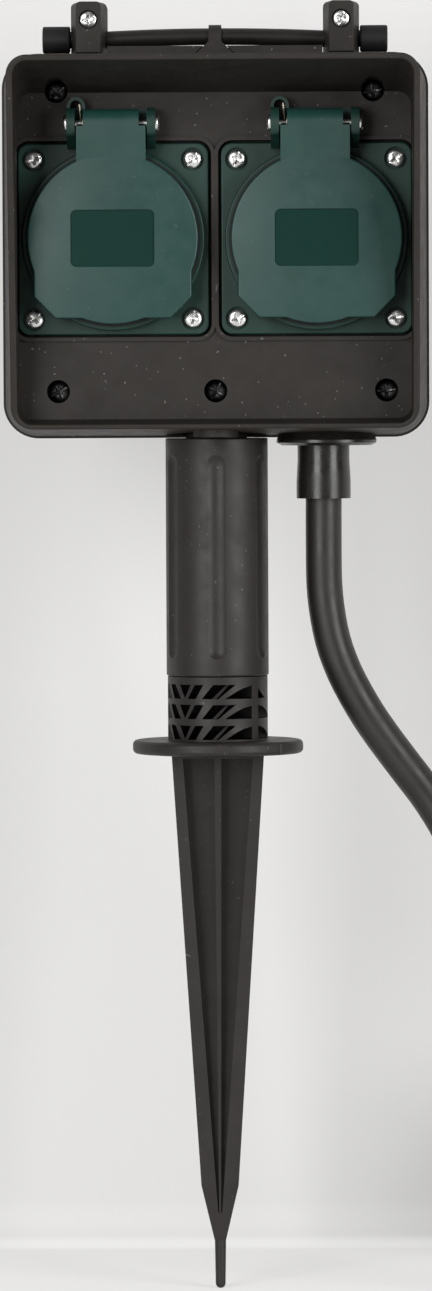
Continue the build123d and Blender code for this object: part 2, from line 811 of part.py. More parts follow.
def pocket_section(z, side, face, inner, outer):
    """The hollow between a rail and the middle rib at height z, open to the front or the back."""
    with BuildSketch(Plane.XY.offset(z)) as section:
        with Locations((side * (inner + outer) / 2, face * (web_half + blade_half_depth))):
            Rectangle(outer - inner, 2 * blade_half_depth)
    return section.sketch


with BuildPart() as ground_spike:
    with BuildSketch():
        Circle(collar_disc_radius)
    extrude(amount=collar_disc_height)
    fillet(ground_spike.edges().filter_by(GeomType.CIRCLE), collar_disc_round)
    # Mark of the mould's gate, on the collar's edge
    gate_y = -sqrt(collar_disc_radius**2 - gate_x**2)
    add(rod((gate_x, gate_y, collar_disc_round / 2), (gate_x, gate_y, collar_disc_height - collar_disc_round / 2),
            gate_radius))
    add(lattice.part)
    with BuildSketch(Plane.XY.offset(lattice_top)):
        Circle(grip_bore - spigot_play)
    extrude(amount=spigot_top - lattice_top)
    with BuildSketch(Plane.XY.offset(spigot_top)):
        Circle(spigot_bore)
    extrude(amount=lattice_top - spigot_top, mode=Mode.SUBTRACT)
    loft([blade_section(collar_disc_height / 2, blade_half_width, blade_half_depth),
          blade_section(blade_low_z, blade_low_half_width, blade_low_half_depth)])
    loft([blade_section(blade_low_z, blade_low_half_width, blade_low_half_depth),
          blade_section(blade_end_z, tip_radius, tip_radius)])
    for side in (-1, 1):
        for face in (-1, 1):
            loft([pocket_section(pocket_top_z, side, face, rib_top_half, blade_half_width - rail_width),
                  pocket_section(pocket_low_z, side, face, rib_low_half, 2 * rib_low_half)],
                 mode=Mode.SUBTRACT)
    with BuildSketch(Plane.XZ):
        with BuildLine():
            Polyline((0, tip_z), (0, blade_end_z + tip_radius), (tip_radius, blade_end_z + tip_radius),
                     (tip_end_radius, tip_z + tip_end_radius))
            CenterArc((0, tip_z + tip_end_radius), tip_end_radius, 0, -90)
        make_face()
    revolve(axis=Axis.Z)
finish(ground_spike.part, "ground_spike")


def pin_dome(x, way):
    """A domed head for a hinge pin, standing out from x."""
    with BuildPart() as dome:
        with BuildSketch(Plane.YZ.offset(x)):
            with Locations((hinge_y, hinge_z)):
                Circle(pin_head_radius)
        extrude(amount=way * pin_head_height)
        outer_face = dome.faces().sort_by(Axis.X)[0 if way < 0 else -1]
        fillet(outer_face.edges(), 0.8 * pin_head_height)
    return dome.part


def make_lid(x, hinge_x, name):
    """A domed lid with a squared tab at its foot and a stem up to the barrel that turns on the pin."""
    dome_radius = (lid_radius**2 + lid_dome**2) / (2 * lid_dome)
    spring_end = spring_start(hinge_x) + spring_pitch * spring_turns + 2 * spring_wire
    with BuildPart() as lid:
        with BuildSketch(facing(lid_inner_y)) as outline:
            with Locations((x, socket_z)):
                Circle(lid_radius)
            tab = [(-tab_half_width, -tab_side_top), (-tab_half_width, -tab_side_bottom),
                   (-tab_flat_half_width, -tab_bottom), (tab_flat_half_width, -tab_bottom),
                   (tab_half_width, -tab_side_bottom), (tab_half_width, -tab_side_top)]
            Polygon(*[(x + a, socket_z + b) for a, b in tab], align=None)
            fillet(outline.vertices(), tab_corner)
        extrude(amount=lid_inner_y - lid_front_y)
        with Locations((x, lid_front_y + dome_radius, socket_z)):
            Sphere(dome_radius, mode=Mode.INTERSECT)
        dome_face = lid.faces().filter_by(GeomType.SPHERE)[0]
        fillet(dome_face.edges(), lid_edge_round)
        # Stem: level with the dome's edge, and rising from there to the front of the barrel
        stem_top = hinge_z - hinge_pin_radius
        stem_front = hinge_y - barrel_radius
        with BuildSketch(Plane.YZ.offset(hinge_x - stem_half_width)):
            Polygon((lid_inner_y, stem_top), (lid_inner_y, socket_z + stem_foot),
                    (lid_edge_y, socket_z + stem_foot), (lid_edge_y, socket_z + lid_radius - stem_knee_inset),
                    (stem_front, hinge_z - barrel_radius), (stem_front, stem_top), align=None)
        extrude(amount=2 * stem_half_width)
        with BuildSketch(Plane.YZ.offset(hinge_x - barrel_half_width)):
            with Locations((hinge_y, hinge_z)):
                Circle(barrel_radius)
            with Locations((hinge_y - barrel_radius / 2, hinge_z - barrel_radius / 2)):
                Rectangle(barrel_radius, barrel_radius)
        extrude(amount=2 * barrel_half_width)
        # Label field, left bare
        with BuildSketch(facing(lid_front_y + label_depth)):
            with Locations((x, socket_z)):
                RectangleRounded(label_width, label_height, label_corner)
        extrude(amount=label_depth, mode=Mode.SUBTRACT)
        # Bore for the pin, and the room round the spring
        with BuildSketch(Plane.YZ.offset(hinge_x - stem_half_width)):
            with Locations((hinge_y, hinge_z)):
                Circle(hinge_pin_radius + hinge_fit)
        extrude(amount=2 * stem_half_width, mode=Mode.SUBTRACT)
        with BuildSketch(Plane.YZ.offset(hinge_x - stem_half_width)):
            with Locations((hinge_y, hinge_z)):
                Circle(spring_pocket_radius)
        extrude(amount=spring_end - hinge_x + stem_half_width, mode=Mode.SUBTRACT)
        # Well behind the lid
        with BuildSketch(facing(lid_inner_y)):
            with Locations((x, socket_z)):
                Circle(lid_well_radius)
        extrude(amount=lid_well_depth, mode=Mode.SUBTRACT)
    finish(lid.part, name)


def spring_start(hinge_x):
    """Where the spring's coil begins: just outside the left end of the lid's barrel."""
    return hinge_x - barrel_half_width - 2 * spring_wire


def make_spring(hinge_x, name):
    """A wound torsion spring round the hinge pin, with one leg that stands up behind the pin."""
    points = []
    tangents = []
    for k in range(2 * spring_turns + 1):
        turn = pi * k
        points.append(Vector(spring_start(hinge_x) + spring_pitch * k / 2,
                             hinge_y + spring_radius * cos(turn), hinge_z - spring_radius * sin(turn)))
        tangents.append(Vector(spring_pitch, -2 * pi * spring_radius * sin(turn),
                               -2 * pi * spring_radius * cos(turn)).normalized())
    leg = points[0] - tangents[0] * spring_leg
    with BuildPart() as spring:
        with BuildLine() as middle:
            Line(leg, points[0])
            for arc in biarcs(points, tangents):
                add(arc)
        with BuildSketch(Plane(origin=leg, z_dir=tangents[0])):
            Circle(spring_wire)
        path = middle.wire()
        sweep(path=path)
    finish(spring.part, name)
    along = [path @ (k / 400) for k in range(401)]
    print(name, "least gap between turns", round(least_gap(along, spring_wire, 40), 2))


def make_socket_flange(x, hinge_x, corners, name):
    """The square flange with its collar, the cup behind it and the ears of the hinge."""
    ear_top = hinge_z + ear_radius
    flange_top = socket_z + flange_size / 2
    with BuildPart() as flange:
        with BuildSketch(facing(flange_back_y)):
            with Locations((x, socket_z)):
                RectangleRounded(flange_size, flange_size, flange_corner)
        extrude(amount=flange_thickness)
        fillet(flange.faces().sort_by(Axis.Y)[0].edges(), flange_edge_round)
        with BuildSketch(facing(flange_back_y)):
            with Locations((x, socket_z)):
                Circle(collar_radius)
        extrude(amount=flange_thickness + collar_height)
        fillet(flange.faces().sort_by(Axis.Y)[0].edges(), flange_edge_round)
        with BuildSketch(facing(cup_back_y)):
            with Locations((x, socket_z)):
                Circle(cup_outer)
        extrude(amount=cup_back_y - flange_back_y + flange_thickness / 2)
        # Two ears and the thin plate behind the barrel that joins them
        for side in (-1, 1):
            with BuildSketch(Plane.YZ.offset(hinge_x + side * ear_inner)):
                with Locations((hinge_y, hinge_z)):
                    Circle(ear_radius)
                Polygon((hinge_y, ear_top), (-ear_back, ear_top), (-ear_back, flange_top - clearance),
                        (flange_back_y - 1, flange_top - clearance), (flange_back_y - 1, ear_foot_z),
                        (collar_front_y, ear_foot_z),
                        (hinge_y - ear_radius * cos(pi / 6), hinge_z - ear_radius / 2), align=None)
            extrude(amount=side * ear_thickness)
        with BuildSketch(facing(-ear_back)):
            with Locations((hinge_x, (ear_top + ear_foot_z) / 2)):
                Rectangle(2 * ear_inner + ear_thickness, ear_top - ear_foot_z)
        extrude(amount=back_plate_thickness)
        # Hoop over the spring's leg, on top of the left ear
        with BuildSketch(facing(-ear_back)):
            hoop_x = hinge_x - ear_outer + arch_width / 2
            hoop_z = hinge_z + arch_height - arch_width / 2
            for mode, half in ((Mode.ADD, arch_width / 2), (Mode.SUBTRACT, arch_width / 2 - arch_wall)):
                with Locations((hoop_x, hoop_z)):
                    Circle(half, mode=mode)
                with Locations((hoop_x, (hoop_z + hinge_z) / 2)):
                    Rectangle(2 * half, hoop_z - hinge_z, mode=mode)
        extrude(amount=arch_front - ear_back)
        with BuildSketch(Plane.YZ.offset(hinge_x - ear_inner)):
            with Locations((hinge_y, hinge_z)):
                Circle(barrel_radius + ear_gap)
        extrude(amount=2 * ear_inner, mode=Mode.SUBTRACT)
        # Bore of the cup, pin holes, slots for the earth fingers, screw wells and the pin's bore
        with BuildSketch(facing(cup_floor_y)):
            with Locations((x, socket_z)):
                Circle(cup_radius)
        extrude(amount=cup_depth, mode=Mode.SUBTRACT)
        with BuildSketch(facing(cup_back_y)):
            with Locations((x, socket_z)):
                with GridLocations(pin_spacing, 1, 2, 1):
                    Circle(pin_hole_radius)
        extrude(amount=cup_floor, mode=Mode.SUBTRACT)
        with BuildSketch(facing(cup_back_y)):
            for way in (-1, 1):
                with Locations((x, socket_z + way * (earth_radius + earth_thickness / 2))):
                    Rectangle(earth_width + 2 * earth_play, earth_thickness + 2 * earth_play)
        extrude(amount=cup_floor + earth_reach + earth_play, mode=Mode.SUBTRACT)
        with BuildSketch(facing(flange_y + flange_screw_seat)):
            with Locations(*corners):
                Circle(flange_screw_well)
        extrude(amount=flange_screw_seat + collar_height, mode=Mode.SUBTRACT)
        with BuildSketch(facing(flange_back_y)):
            with Locations(*corners):
                Circle(small_screw_radius + clearance)
        extrude(amount=flange_thickness, mode=Mode.SUBTRACT)
        with BuildSketch(Plane.YZ.offset(hinge_x - ear_outer)):
            with Locations((hinge_y, hinge_z)):
                Circle(hinge_pin_radius + thread_play)
        extrude(amount=2 * ear_outer, mode=Mode.SUBTRACT)
    finish(flange.part, name)


def make_contacts(x, side_name):
    """The carrier behind a cup, its two contact sleeves, its earth clip and their terminal screws."""
    earth_terminal = (x, socket_z - earth_terminal_drop)
    with BuildPart() as carrier:
        with BuildSketch(facing(carrier_back_y)):
            with Locations((x, socket_z)):
                Circle(carrier_radius)
        extrude(amount=carrier_length)
        with BuildSketch(facing(carrier_back_y)):
            with Locations((x, socket_z)):
                with GridLocations(pin_spacing, 1, 2, 1):
                    Circle(sleeve_radius + thread_play)
            with Locations(earth_terminal):
                Circle(terminal_shank + clearance)
        extrude(amount=carrier_length, mode=Mode.SUBTRACT)
        with BuildSketch(facing(cup_back_y + earth_thickness + clearance)):
            with Locations((x, socket_z)):
                Rectangle(earth_width + 2 * earth_play, 2 * carrier_radius)
        extrude(amount=earth_thickness + clearance, mode=Mode.SUBTRACT)
    finish(carrier.part, f"contact_carrier_{side_name}")

    with BuildPart() as contacts:
        with BuildSketch(facing(carrier_back_y)):
            with Locations((x, socket_z)):
                with GridLocations(pin_spacing, 1, 2, 1):
                    Circle(sleeve_radius)
        extrude(amount=carrier_length - clearance)
        with BuildSketch(facing(cup_back_y + sleeve_bore_length)):
            with Locations((x, socket_z)):
                with GridLocations(pin_spacing, 1, 2, 1):
                    Circle(sleeve_bore)
        extrude(amount=sleeve_bore_length, mode=Mode.SUBTRACT)
        with BuildSketch(facing(carrier_back_y)):
            with Locations((x, socket_z)):
                with GridLocations(pin_spacing, 1, 2, 1):
                    Circle(terminal_shank + thread_play)
        extrude(amount=terminal_reach, mode=Mode.SUBTRACT)
    finish(contacts.part, f"live_contacts_{side_name}")

    with BuildPart() as earth_clip:
        with BuildSketch(Plane.YZ.offset(x - earth_width / 2)):
            with Locations((cup_back_y + earth_thickness / 2, socket_z)):
                Rectangle(earth_thickness, 2 * (earth_radius + earth_thickness))
            for way in (-1, 1):
                with Locations((cup_back_y + earth_thickness / 2 - (cup_floor + earth_reach) / 2,
                                socket_z + way * (earth_radius + earth_thickness / 2))):
                    Rectangle(cup_floor + earth_reach + earth_thickness, earth_thickness)
        extrude(amount=earth_width)
        with BuildSketch(facing(cup_back_y + earth_thickness)):
            with Locations(earth_terminal):
                Circle(terminal_shank + thread_play)
        extrude(amount=earth_thickness, mode=Mode.SUBTRACT)
    finish(earth_clip.part, f"earth_clip_{side_name}")

    terminals = [(x - pin_spacing / 2, socket_z, terminal_reach), (x + pin_spacing / 2, socket_z, terminal_reach),
                 (*earth_terminal, carrier_length)]
    with BuildPart() as terminal_screws:
        for a, b, reach in terminals:
            forward = screw(a, b, -carrier_back_y, terminal_shank, reach, terminal_head, terminal_head_height,
                            terminal_head_height / 2)
            add(forward.mirror(Plane.XZ))
    finish(terminal_screws.part, f"terminal_screws_{side_name}")


for side, side_name in ((-1, "left"), (1, "right")):
    x = side * socket_x
    hinge_x = x + hinge_shift
    corners = [(x + a * flange_screw_offset, socket_z + b * flange_screw_offset)
               for a in (-1, 1) for b in (-1, 1)]
    make_socket_flange(x, hinge_x, corners, f"socket_flange_{side_name}")

    with BuildPart() as flange_gasket:
        with BuildSketch(facing(pocket_floor_y)):
            with Locations((x, socket_z)):
                RectangleRounded(flange_size, flange_size, flange_corner)
                Circle(cup_outer + clearance, mode=Mode.SUBTRACT)
            with Locations(*corners):
                Circle(small_screw_radius + clearance, mode=Mode.SUBTRACT)
        extrude(amount=flange_gasket_thickness)
    finish(flange_gasket.part, f"flange_gasket_{side_name}")

    with BuildPart() as flange_screws:
        for a, b in corners:
            add(screw(a, b, flange_y + flange_screw_seat, small_screw_radius, flange_screw_reach,
                      small_screw_head, small_screw_head_height))
    finish(flange_screws.part, f"flange_screws_{side_name}")

    make_lid(x, hinge_x, f"lid_{side_name}")

    # Sealing ring on the lid's inside, which closes on the collar
    with BuildPart() as lid_seal:
        with BuildSketch(facing(lid_inner_y + lid_gap - seal_gap)):
            with Locations((x, socket_z)):
                middle_radius = (cup_radius + collar_radius) / 2
                Circle(middle_radius + seal_width / 2)
                Circle(middle_radius - seal_width / 2, mode=Mode.SUBTRACT)
        extrude(amount=lid_gap - seal_gap)
    finish(lid_seal.part, f"lid_seal_{side_name}")

    # Hinge pin with one formed head, and the cap pressed on its other end
    pin_end = (hinge_x + ear_outer + pin_tail, hinge_y, hinge_z)
    with BuildPart() as hinge_pin:
        add(rod((hinge_x - ear_outer, hinge_y, hinge_z), pin_end, hinge_pin_radius))
        add(pin_dome(hinge_x - ear_outer, -1))
    finish(hinge_pin.part, f"hinge_pin_{side_name}")

    with BuildPart() as pin_cap:
        add(pin_dome(hinge_x + ear_outer, 1))
        add(rod((hinge_x, hinge_y, hinge_z), pin_end, hinge_pin_radius + thread_play), mode=Mode.SUBTRACT)
    finish(pin_cap.part, f"pin_cap_{side_name}")

    make_spring(hinge_x, f"lid_spring_{side_name}")
    make_contacts(x, side_name)

# Cable gland: a sleeve and a wide disc under the case, a neck through it and a lip inside
with BuildPart() as cable_gland:
    with BuildSketch(Plane.XZ):
        Polygon((gland_x, gland_exit_z), (gland_x + gland_mouth_radius, gland_exit_z),
                (gland_x + gland_mouth_radius, gland_band_z), (gland_x + gland_waist_radius, gland_waist_z),
                (gland_x + gland_waist_radius, gland_cone_top), (gland_x, gland_cone_top), align=None)
    revolve(axis=Axis((gland_x, 0, 0), (0, 0, 1)))
    disc_x = gland_x + gland_disc_shift
    with BuildSketch(Plane.XZ):
        Polygon((disc_x, gland_disc_bottom), (disc_x + gland_disc_radius - gland_disc_edge, gland_disc_bottom),
                (disc_x + gland_disc_radius, gland_disc_bottom + gland_disc_edge / 2),
                (disc_x + gland_disc_radius, gland_disc_bottom + gland_disc_edge),
                (disc_x + gland_cone_radius, gland_cone_top), (disc_x, gland_cone_top), align=None)
    revolve(axis=Axis((disc_x, 0, 0), (0, 0, 1)))
    for block in (front_block, rear_block, seam_block):
        add(block.part, mode=Mode.SUBTRACT)
    with BuildSketch(Plane.XY.offset(gland_disc_bottom)):
        with Locations((gland_x, 0)):
            Circle(gland_neck_radius)
    extrude(amount=neck_top - gland_disc_bottom)
    with BuildSketch(Plane.XY.offset(neck_flange_z)):
        with Locations((gland_x, 0)):
            Circle(gland_lip_radius)
    extrude(amount=neck_top - neck_flange_z)
    with BuildSketch(Plane.XY.offset(gland_exit_z)):
        with Locations((gland_x, 0)):
            Circle(cable_radius + gland_play)
    extrude(amount=neck_top - gland_exit_z, mode=Mode.SUBTRACT)
finish(cable_gland.part, "cable_gland")

# Cable inside the gland and the case, held by a clamp that is screwed to the rear shell's rib
with BuildPart() as cable_inside:
    add(rod((gland_x, 0, gland_exit_z), (gland_x, 0, jacket_top), cable_radius))
finish(cable_inside.part, "cable_inside")

with BuildPart() as strain_clamp:
    with BuildSketch(Plane.XY.offset(clamp_bottom)):
        with Locations((gland_x, (cable_back_y - clamp_front) / 2)):
            Rectangle(2 * clamp_half_width, cable_back_y + clamp_front)
        with Locations((gland_x, 0)):
            Circle(cable_radius + gland_play, mode=Mode.SUBTRACT)
        with Locations((gland_x, cable_back_y / 2)):
            Rectangle(2 * (cable_radius + gland_play), cable_back_y, mode=Mode.SUBTRACT)
    extrude(amount=clamp_height)
    with BuildSketch(facing(cable_back_y)):
        with Locations((gland_x, clamp_bottom + clamp_height / 2)):
            with GridLocations(2 * clamp_screw_x, 1, 2, 1):
                Circle(small_screw_radius + clearance)
    extrude(amount=cable_back_y + clamp_front, mode=Mode.SUBTRACT)
finish(strain_clamp.part, "strain_clamp")

with BuildPart() as strain_clamp_screws:
    for side in (-1, 1):
        add(screw(gland_x + side * clamp_screw_x, clamp_bottom + clamp_height / 2, -clamp_front,
                  small_screw_radius, clamp_screw_reach, small_screw_head, small_screw_head_height))
finish(strain_clamp_screws.part, "strain_clamp_screws")

# Cores: one feed from the cable to the right socket and one jumper on to the left, for each pole
terminal_y = carrier_back_y + terminal_head_height


def make_core(core_x, right_x, left_x, terminal_z, jumper_z, feed_drop, name):
    """One core: it leaves the jacket, rises behind the right socket and loops on to the left one."""
    feed = [(core_x, 0, jacket_top), (core_x, 0, feed_z), (core_x, feed_y, feed_z)]
    if right_x != core_x:
        feed.append((right_x, feed_y, feed_z))
    feed += [(right_x, feed_y, terminal_z - feed_drop), (right_x, terminal_y, terminal_z - feed_drop)]
    start_x = right_x if feed_drop else 2 * socket_x - right_x
    jumper = [(start_x, terminal_y, terminal_z + feed_drop), (start_x, jumper_y, terminal_z + feed_drop),
              (start_x, jumper_y, jumper_z), (left_x, jumper_y, jumper_z),
              (left_x, jumper_y, terminal_z + feed_drop), (left_x, terminal_y, terminal_z + feed_drop)]
    with BuildPart() as core:
        add(tube(feed, core_radius, wire_bend, name))
        add(tube(jumper, core_radius, wire_bend, name))
    finish(core.part, name)


make_core(gland_x - core_step, socket_x - pin_spacing / 2, -socket_x - pin_spacing / 2, socket_z,
          live_jumper_z, conductor_offset, "wire_live")
make_core(gland_x + core_step, socket_x + pin_spacing / 2, -socket_x + pin_spacing / 2, socket_z,
          neutral_jumper_z, conductor_offset, "wire_neutral")
make_core(gland_x, gland_x, -socket_x, socket_z - earth_terminal_drop, earth_jumper_z, 0.0, "wire_earth")

# Lead: from the gland down past the spike to the floor, where it runs into the coil
with BuildPart() as cable_lead:
    bends = []
    for before, at, after in zip(lead_route, lead_route[1:], lead_route[2:]):
        arriving = Vector(*at) - Vector(*before)
        leaving = Vector(*after) - Vector(*at)
        turn = radians(arriving.get_angle(leaving))
        bends.append(0.45 * min(arriving.length, leaving.length) / tan(turn / 2))
    with BuildLine() as lead_line:
        FilletPolyline(*lead_route, radius=bends)
    lead_path = lead_line.wire()
    with BuildSketch(Plane(origin=lead_route[0], z_dir=lead_path % 0)):
        Circle(cable_radius)
    sweep(path=lead_path)
finish(cable_lead.part, "cable_lead")
print("lead bends", [round(bend) for bend in bends], "length", round(lead_path.length, 1))
lead_share = cable_lead.part.volume / (pi * cable_radius**2 * lead_path.length)
print("lead volume over section and length", round(lead_share, 4))

# Coil: it spirals in on the floor, climbs half a turn, spirals out on top, climbs once more and turns
# inwards over itself to the plug
lead_heading = (Vector(*lead_route[-1]) - Vector(*lead_route[-2])).normalized()
coil_start = Vector(*lead_route[-1]) + lead_heading * 2 * cable_radius
coil_centre = Vector(*coil_at, coil_start.Z)
start_angle = atan2(coil_start.Y - coil_centre.Y, coil_start.X - coil_centre.X)
turns_round = turns_in + turns_back + turns_out
turns_all = turns_round + turns_over


def spiral_point(turn):
    """A point on the round part of the coil's middle line after so many turns."""
    climb = min(max((turn - turns_in) / turns_back, 0), 1)
    last_climb = min(max((turn - turns_round) / climb_turns + 1, 0), 1)
    radius = coil_radius - coil_pitch * min(turn, turns_in) - coil_pitch * turns_back * climb * (1 - climb)
    radius += coil_pitch * max(turn - turns_in - turns_back, 0)
    height = coil_layer * (2 - cos(pi * climb) - cos(pi * last_climb)) / 2
    angle = start_angle + 2 * pi * turn
    return coil_centre + Vector(radius * cos(angle), radius * sin(angle), height)


over_start = spiral_point(turns_round)
over_way = over_start - spiral_point(turns_round - 1e-4)
over_angle = atan2(over_way.Y, over_way.X)
over_centre = over_start + Vector(-sin(over_angle), cos(over_angle), 0) * over_radius


def over_point(turn):
    """A point on the last part, which turns inwards on top of the others and rises towards the plug."""
    angle = over_angle + 2 * pi * (turn - turns_round)
    height = plug_slope * pi * over_radius * max(turn - turns_all + rise_turns, 0)**2 / rise_turns
    return over_centre + Vector(over_radius * sin(angle), -over_radius * cos(angle), height)


def coil_way(point, turn):
    """The heading of a part of the coil after so many turns."""
    return (point(turn + 1e-4) - point(turn - 1e-4)).normalized()


climb_start = turns_round - climb_turns
round_turns = [*[k / 4 for k in range(int(4 * climb_start) + 1)], climb_start + climb_turns / 4,
               climb_start + climb_turns / 2, climb_start + 3 * climb_turns / 4]
over_turns = [turns_round, turns_round + turns_over / 3, turns_round + 2 * turns_over / 3,
              turns_all - rise_turns / 2, turns_all]
coil_points = [*[spiral_point(turn) for turn in round_turns], *[over_point(turn) for turn in over_turns]]
coil_tangents = [*[coil_way(spiral_point, turn) for turn in round_turns],
                 *[coil_way(over_point, turn) for turn in over_turns]]
coil_points[0] = coil_start
coil_tangents[0] = lead_heading
plug_point = coil_points[-1] + coil_tangents[-1] * 2 * cable_radius
with BuildPart() as cable_coil:
    with BuildLine() as coil_line:
        Line(Vector(*lead_route[-1]), coil_start)
        for arc in biarcs(coil_points, coil_tangents):
            add(arc)
        Line(coil_points[-1], plug_point)
    coil_path = coil_line.wire()
    with BuildSketch(Plane(origin=lead_route[-1], z_dir=lead_heading)):
        Circle(cable_radius)
    sweep(path=coil_path)
finish(cable_coil.part, "cable_coil")
coil_length = coil_path.length
coil_walk = [coil_path @ (k / 600) for k in range(601)]
print("coil length", round(coil_length, 1), "start radius", round((coil_start - coil_centre).length, 2),
      "least gap", round(least_gap(coil_walk, cable_radius, 40), 2))
print("cord length in all", round(coil_length + lead_path.length, 1), "plug starts at", plug_point)

# Plug: its axis goes on from the coil's end, and it lies on the turns
plug_way = coil_tangents[-1]
plug_axis = Axis(plug_point, plug_way)
plug_side = plug_way.cross(Vector(0, 0, 1)).normalized()
plug_plane = Plane(origin=plug_point, x_dir=plug_way, z_dir=plug_side * -1)
face_at = plug_tail_length + plug_grip_length
with BuildPart() as plug_body:
    with BuildSketch(plug_plane):
        with BuildLine():
            Polyline((face_at + plug_face_length, 0), (0, 0), (0, plug_tail_radius),
                     (plug_tail_length, plug_tail_radius + 1.5))
            Spline((plug_tail_length, plug_tail_radius + 1.5),
                   (plug_tail_length + plug_grip_length / 2, plug_grip_radius), (face_at, plug_grip_radius - 1),
                   tangents=((1, 0.8), (1, 0.3)))
            Polyline((face_at, plug_grip_radius - 1), (face_at, plug_face_radius),
                     (face_at + plug_face_length, plug_face_radius), (face_at + plug_face_length, 0))
        make_face()
    revolve(axis=plug_axis)
    face_plane = Plane(origin=plug_point + plug_way * (face_at + plug_face_length), x_dir=plug_side, z_dir=plug_way)
    with BuildSketch(face_plane):
        for way in (-1, 1):
            with Locations((0, way * plug_face_radius)):
                Rectangle(plug_clip_width + 2 * clearance, 2 * (plug_clip_thickness + clearance))
    extrude(amount=-plug_clip_length, mode=Mode.SUBTRACT)
    with BuildSketch(face_plane):
        with GridLocations(pin_spacing, 1, 2, 1):
            Circle(plug_pin_radius + thread_play)
    extrude(amount=-plug_face_length / 2, mode=Mode.SUBTRACT)
finish(plug_body.part, "plug_body")

with BuildPart() as plug_pins:
    with BuildSketch(face_plane.offset(-plug_face_length / 2)):
        with GridLocations(pin_spacing, 1, 2, 1):
            Circle(plug_pin_radius)
    extrude(amount=plug_face_length / 2 + plug_pin_length)
    fillet(plug_pins.faces().filter_by(face_plane).group_by(SortBy.DISTANCE)[-1].edges(), plug_pin_radius / 2)
finish(plug_pins.part, "plug_pins")

with BuildPart() as plug_earth_clips:
    with BuildSketch(face_plane):
        for way in (-1, 1):
            with Locations((0, way * (plug_face_radius - plug_clip_thickness / 2 - clearance))):
                Rectangle(plug_clip_width, plug_clip_thickness)
    extrude(amount=-plug_clip_length)
finish(plug_earth_clips.part, "plug_earth_clips")
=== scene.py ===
from math import atan2, cos, pi, radians, sin

import bpy
import numpy as np
from mathutils import Matrix, Vector


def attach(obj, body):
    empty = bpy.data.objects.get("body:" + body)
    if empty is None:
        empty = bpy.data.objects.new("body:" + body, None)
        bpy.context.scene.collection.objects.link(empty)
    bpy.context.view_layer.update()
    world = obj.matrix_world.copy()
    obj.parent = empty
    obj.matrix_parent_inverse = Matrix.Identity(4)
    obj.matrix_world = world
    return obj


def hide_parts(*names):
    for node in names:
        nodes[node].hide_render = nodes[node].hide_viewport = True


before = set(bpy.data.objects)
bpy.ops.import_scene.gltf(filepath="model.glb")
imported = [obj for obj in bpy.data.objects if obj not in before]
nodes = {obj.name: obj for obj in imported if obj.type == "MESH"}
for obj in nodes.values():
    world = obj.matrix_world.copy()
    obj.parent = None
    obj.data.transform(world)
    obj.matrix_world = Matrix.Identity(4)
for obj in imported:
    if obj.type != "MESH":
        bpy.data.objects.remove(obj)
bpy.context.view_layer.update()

# Camera, as the photograph was taken: a long lens 1.7 m in front, a little to the right of the spike
# and level with the foot of the case, turned by a quarter of a degree.
camera_at = Vector((0.0198, -1.718, 0.0875))
camera_aim = Vector((-0.0002, -0.018, 0.0286))
camera_roll = radians(-0.28)
pixels_per_metre = 3880.0
photo_height = 1291
camera_data = bpy.data.cameras.new("camera")
camera_data.sensor_fit = "VERTICAL"
camera_data.sensor_height = 24.0
camera_distance = (camera_aim - camera_at).length
camera_data.lens = camera_data.sensor_height * pixels_per_metre * camera_distance / photo_height
camera_data.clip_start = 0.05
camera = bpy.data.objects.new("camera", camera_data)
bpy.context.scene.collection.objects.link(camera)
camera_turn = (camera_aim - camera_at).to_track_quat("-Z", "Y").to_matrix().to_4x4()
camera.matrix_world = Matrix.Translation(camera_at) @ camera_turn @ Matrix.Rotation(camera_roll, 4, "Z")
bpy.context.scene.camera = camera

# Cable: a round rubber lead of three cores, 9.5 mm thick. It drops from the gland, swings out past the
# spike to the floor and is put away there in a neat round coil, with its plug lying across the turns.
cable_radius = 0.00475
lead_route = [(0.0278, 0.0, 0.0662), (0.0277, 0.0, 0.0530), (0.0279, 0.0, 0.0395),
              (0.0308, 0.0, 0.0250), (0.0383, 0.0, 0.0105), (0.0474, 0.0, -0.0020),
              (0.0571, 0.0, -0.0145), (0.0651, -0.0026, -0.0300), (0.0706, -0.0096, -0.0500),
              (0.0738, -0.0155, -0.0715), (0.0766, -0.0200, -0.0930), (0.0848, -0.0254, -0.1126),
              (0.0997, -0.0306, -0.1276), (0.1186, -0.0353, -0.13525), (0.1380, -0.0392, -0.13525)]
floor_z = -0.140
coil_middle = np.array((0.1589, 0.0168, -0.13525))
coil_radius, coil_pitch, coil_layer = 0.0590, 0.0104, 0.0101
turns_in, turns_back, turns_out, climb_turns = 2.0, 0.5, 1.615, 0.34
over_radius, turns_over, rise_turns, plug_slope = 0.0400, 0.417, 0.08, 0.16
turns_round = turns_in + turns_back + turns_out
turns_all = turns_round + turns_over
points_per_turn, over_count = 32, 15
small_turn = 1e-4
lead_heading = np.subtract(lead_route[-1], lead_route[-2])
lead_heading /= np.linalg.norm(lead_heading)
coil_start = np.array(lead_route[-1]) + lead_heading * 2 * cable_radius
start_angle = atan2(coil_start[1] - coil_middle[1], coil_start[0] - coil_middle[0])


